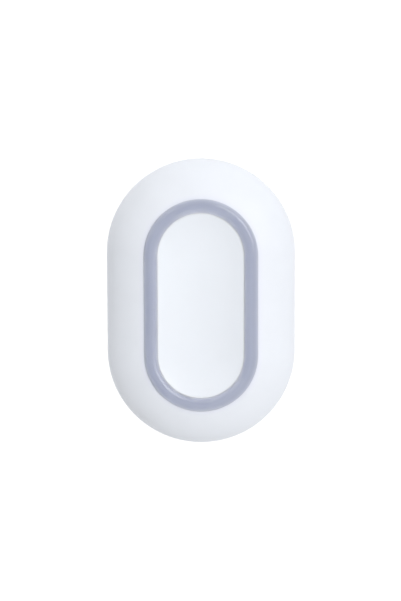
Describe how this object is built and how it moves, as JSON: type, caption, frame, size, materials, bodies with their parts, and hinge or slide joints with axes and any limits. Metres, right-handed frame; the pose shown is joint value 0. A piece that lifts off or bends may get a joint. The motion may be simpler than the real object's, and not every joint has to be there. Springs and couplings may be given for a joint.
{
  "type": "panic button",
  "caption": "Pocket-size wireless panic button: oval pebble housing, translucent light ring round a large dished press button, coin-cell door and cord bar behind.",
  "frame": {"origin": "centre of the flat rear face that it lies on, under the middle of the button", "axes": "+Z out of the button face, +Y along the length towards the device's top, +X to the right seen from the front"},
  "size_m": [0.04, 0.061, 0.0135],
  "materials": {
    "shell_white": "fine satin spark texture",
    "button_white": "smooth satin",
    "ring_smoke": "translucent grey-blue, soft gloss",
    "silicone": "matt silicone",
    "seal_rubber": "matt rubber",
    "foam": "closed-cell foam",
    "frame_black": "moulded black",
    "board": "green solder resist",
    "steel": "stamped stainless steel",
    "spring_metal": "plated spring strip",
    "tinned_metal": "bright tin",
    "plunger_plastic": "moulded",
    "led_package": "diffuse lens on a white package",
    "chip_epoxy": "moulded epoxy",
    "chip_ceramic": "ceramic with tinned ends",
    "grommet_plastic": "moulded",
    "screw_steel": "zinc plated"
  },
  "bodies": {
    "housing": {"rear_shell": "shell_white", "front_shell": "shell_white", "light_ring": "ring_smoke", "button_seal": "silicone", "housing_gasket": "seal_rubber", "seal_frame": "frame_black", "cell_holder": "frame_black", "switch_base": "frame_black", "pcb": "board", "switch_cover": "steel", "snap_dome": "spring_metal", "switch_terminals": "tinned_metal", "status_leds": "led_package", "radio_chip": "chip_epoxy", "crystal": "tinned_metal", "rf_shield": "tinned_metal", "chip_passives": "chip_ceramic", "antenna": "spring_metal", "positive_contact": "spring_metal", "negative_contact": "spring_metal", "cell_can": "steel", "cell_grommet": "grommet_plastic", "cell_cap": "steel", "housing_screws": "screw_steel"},
    "button": {"button_cap": "button_white"},
    "plunger": {"switch_plunger": "plunger_plastic"},
    "door": {"battery_door": "shell_white", "door_o_ring": "seal_rubber", "cell_pad": "foam"}
  },
  "joints": [
    {"name": "button_press", "type": "slide", "parent": "housing", "child": "button", "axis": [0, 0, -1], "range_m": [0, 0.0006], "stiffness_N_per_m": 3500, "deforming": ["button_seal"]},
    {"name": "plunger_press", "type": "slide", "parent": "housing", "child": "plunger", "axis": [0, 0, -1], "range_m": [0, 0.0003], "deforming": ["snap_dome"]},
    {"name": "door_turn", "type": "hinge", "parent": "housing", "child": "door", "pos_m": [0, -0.005, 0.0002], "axis": [0, 0, -1], "range_deg": [0, 45]}
  ],
  "couplings": [
    {"joint": "plunger_press", "follows": "button_press", "ratio": 0.5}
  ]
}
